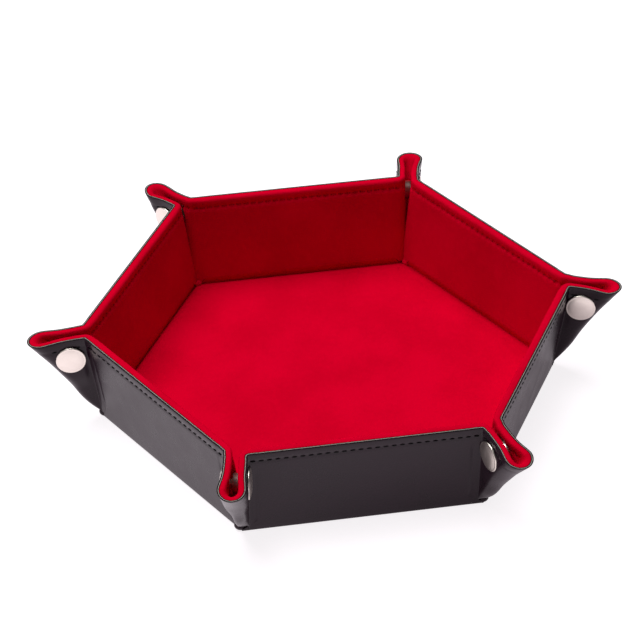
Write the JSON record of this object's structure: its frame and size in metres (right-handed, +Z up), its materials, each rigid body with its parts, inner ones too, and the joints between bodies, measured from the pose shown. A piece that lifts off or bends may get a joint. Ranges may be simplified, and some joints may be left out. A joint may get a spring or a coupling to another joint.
{
  "type": "folding dice tray",
  "caption": "Hexagonal folding tray for rolling dice: leatherette outside, velvet inside, hinged walls and pinched corner ears held by snap fasteners.",
  "frame": {"origin": "centre of the underside of the base", "axes": "+Z up out of the tray, +X through corner 1, +Y through the middle of wall 2"},
  "size_m": [0.2453, 0.221, 0.0439],
  "materials": {
    "leatherette": "semi-gloss fine grain",
    "velvet": "short pile velvet",
    "greyboard": "plain board",
    "nickel": "satin nickel plate"
  },
  "bodies": {
    "base": {"base_leather": "leatherette", "base_board": "greyboard", "base_lining": "velvet"},
    "wall_1": {"wall_1_leather": "leatherette", "wall_1_board": "greyboard", "wall_1_lining": "velvet"},
    "wall_2": {"wall_2_leather": "leatherette", "wall_2_board": "greyboard", "wall_2_lining": "velvet"},
    "wall_3": {"wall_3_leather": "leatherette", "wall_3_board": "greyboard", "wall_3_lining": "velvet"},
    "wall_4": {"wall_4_leather": "leatherette", "wall_4_board": "greyboard", "wall_4_lining": "velvet"},
    "wall_5": {"wall_5_leather": "leatherette", "wall_5_board": "greyboard", "wall_5_lining": "velvet"},
    "wall_6": {"wall_6_leather": "leatherette", "wall_6_board": "greyboard", "wall_6_lining": "velvet"},
    "flap_1a": {"ear_1a_leather": "leatherette", "ear_1a_lining": "velvet", "socket_snap_1": "nickel"},
    "flap_1b": {"ear_1b_leather": "leatherette", "ear_1b_lining": "velvet", "stud_snap_1": "nickel"},
    "flap_2a": {"ear_2a_leather": "leatherette", "ear_2a_lining": "velvet", "socket_snap_2": "nickel"},
    "flap_2b": {"ear_2b_leather": "leatherette", "ear_2b_lining": "velvet", "stud_snap_2": "nickel"},
    "flap_3a": {"ear_3a_leather": "leatherette", "ear_3a_lining": "velvet", "socket_snap_3": "nickel"},
    "flap_3b": {"ear_3b_leather": "leatherette", "ear_3b_lining": "velvet", "stud_snap_3": "nickel"},
    "flap_4a": {"ear_4a_leather": "leatherette", "ear_4a_lining": "velvet", "socket_snap_4": "nickel"},
    "flap_4b": {"ear_4b_leather": "leatherette", "ear_4b_lining": "velvet", "stud_snap_4": "nickel"},
    "flap_5a": {"ear_5a_leather": "leatherette", "ear_5a_lining": "velvet", "socket_snap_5": "nickel"},
    "flap_5b": {"ear_5b_leather": "leatherette", "ear_5b_lining": "velvet", "stud_snap_5": "nickel"},
    "flap_6a": {"ear_6a_leather": "leatherette", "ear_6a_lining": "velvet", "socket_snap_6": "nickel"},
    "flap_6b": {"ear_6b_leather": "leatherette", "ear_6b_lining": "velvet", "stud_snap_6": "nickel"}
  },
  "joints": [
    {"name": "wall_1_fold", "type": "hinge", "parent": "base", "child": "wall_1", "pos_m": [0.07113, 0.04107, 0.001], "axis": [-0.5, 0.866, 0], "range_deg": [0, 77]},
    {"name": "wall_2_fold", "type": "hinge", "parent": "base", "child": "wall_2", "pos_m": [0, 0.08213, 0.001], "axis": [-1, 0, 0], "range_deg": [0, 77]},
    {"name": "wall_3_fold", "type": "hinge", "parent": "base", "child": "wall_3", "pos_m": [-0.07113, 0.04107, 0.001], "axis": [-0.5, -0.866, 0], "range_deg": [0, 77]},
    {"name": "wall_4_fold", "type": "hinge", "parent": "base", "child": "wall_4", "pos_m": [-0.07113, -0.04107, 0.001], "axis": [0.5, -0.866, 0], "range_deg": [0, 77]},
    {"name": "wall_5_fold", "type": "hinge", "parent": "base", "child": "wall_5", "pos_m": [0, -0.08213, 0.001], "axis": [1, 0, 0], "range_deg": [0, 77]},
    {"name": "wall_6_fold", "type": "hinge", "parent": "base", "child": "wall_6", "pos_m": [0.07113, -0.04107, 0.001], "axis": [0.5, 0.866, 0], "range_deg": [0, 77]},
    {"name": "flap_1a_crease", "type": "hinge", "parent": "wall_1", "child": "flap_1a", "pos_m": [0.09329, -0.00089, 0.00125], "axis": [-0.1205, -0.0696, -0.9903], "range_deg": [0, 42.06]},
    {"name": "flap_1b_crease", "type": "hinge", "parent": "wall_6", "child": "flap_1b", "pos_m": [0.09329, 0.00089, 0.00125], "axis": [0.1205, -0.0696, 0.9903], "range_deg": [0, 71.03]},
    {"name": "flap_2a_crease", "type": "hinge", "parent": "wall_2", "child": "flap_2a", "pos_m": [0.04742, 0.08035, 0.00125], "axis": [0, -0.1392, -0.9903], "range_deg": [0, 72.9]},
    {"name": "flap_2b_crease", "type": "hinge", "parent": "wall_1", "child": "flap_2b", "pos_m": [0.04587, 0.08124, 0.00125], "axis": [0.1205, 0.0696, 0.9903], "range_deg": [0, 40.18]},
    {"name": "flap_3a_crease", "type": "hinge", "parent": "wall_3", "child": "flap_3a", "pos_m": [-0.04587, 0.08124, 0.00125], "axis": [0.1205, -0.0696, -0.9903], "range_deg": [0, 61.71]},
    {"name": "flap_3b_crease", "type": "hinge", "parent": "wall_2", "child": "flap_3b", "pos_m": [-0.04742, 0.08035, 0.00125], "axis": [0, 0.1392, 0.9903], "range_deg": [0, 51.44]},
    {"name": "flap_4a_crease", "type": "hinge", "parent": "wall_4", "child": "flap_4a", "pos_m": [-0.09329, 0.00089, 0.00125], "axis": [0.1205, 0.0696, -0.9903], "range_deg": [0, 54.71]},
    {"name": "flap_4b_crease", "type": "hinge", "parent": "wall_3", "child": "flap_4b", "pos_m": [-0.09329, -0.00089, 0.00125], "axis": [-0.1205, 0.0696, 0.9903], "range_deg": [0, 58.45]},
    {"name": "flap_5a_crease", "type": "hinge", "parent": "wall_5", "child": "flap_5a", "pos_m": [-0.04742, -0.08035, 0.00125], "axis": [0, 0.1392, -0.9903], "range_deg": [0, 73.36]},
    {"name": "flap_5b_crease", "type": "hinge", "parent": "wall_4", "child": "flap_5b", "pos_m": [-0.04587, -0.08124, 0.00125], "axis": [-0.1205, -0.0696, 0.9903], "range_deg": [0, 39.71]},
    {"name": "flap_6a_crease", "type": "hinge", "parent": "wall_6", "child": "flap_6a", "pos_m": [0.04587, -0.08124, 0.00125], "axis": [-0.1205, 0.0696, -0.9903], "range_deg": [0, 45.34]},
    {"name": "flap_6b_crease", "type": "hinge", "parent": "wall_5", "child": "flap_6b", "pos_m": [0.04742, -0.08035, 0.00125], "axis": [0, -0.1392, 0.9903], "range_deg": [0, 67.77]}
  ],
  "couplings": [
    {"joint": "wall_2_fold", "follows": "wall_1_fold", "ratio": 1},
    {"joint": "wall_3_fold", "follows": "wall_1_fold", "ratio": 1},
    {"joint": "wall_4_fold", "follows": "wall_1_fold", "ratio": 1},
    {"joint": "wall_5_fold", "follows": "wall_1_fold", "ratio": 1},
    {"joint": "wall_6_fold", "follows": "wall_1_fold", "ratio": 1},
    {"joint": "flap_1a_crease", "follows": "wall_1_fold", "ratio": 0.5461},
    {"joint": "flap_1b_crease", "follows": "wall_1_fold", "ratio": 0.92238},
    {"joint": "flap_2a_crease", "follows": "wall_1_fold", "ratio": 0.94656},
    {"joint": "flap_2b_crease", "follows": "wall_1_fold", "ratio": 0.5217},
    {"joint": "flap_3a_crease", "follows": "wall_1_fold", "ratio": 0.80135},
    {"joint": "flap_3b_crease", "follows": "wall_1_fold", "ratio": 0.66786},
    {"joint": "flap_4a_crease", "follows": "wall_1_fold", "ratio": 0.71038},
    {"joint": "flap_4b_crease", "follows": "wall_1_fold", "ratio": 0.75892},
    {"joint": "flap_5a_crease", "follows": "wall_1_fold", "ratio": 0.9526},
    {"joint": "flap_5b_crease", "follows": "wall_1_fold", "ratio": 0.5156},
    {"joint": "flap_6a_crease", "follows": "wall_1_fold", "ratio": 0.58876},
    {"joint": "flap_6b_crease", "follows": "wall_1_fold", "ratio": 0.88005}
  ]
}
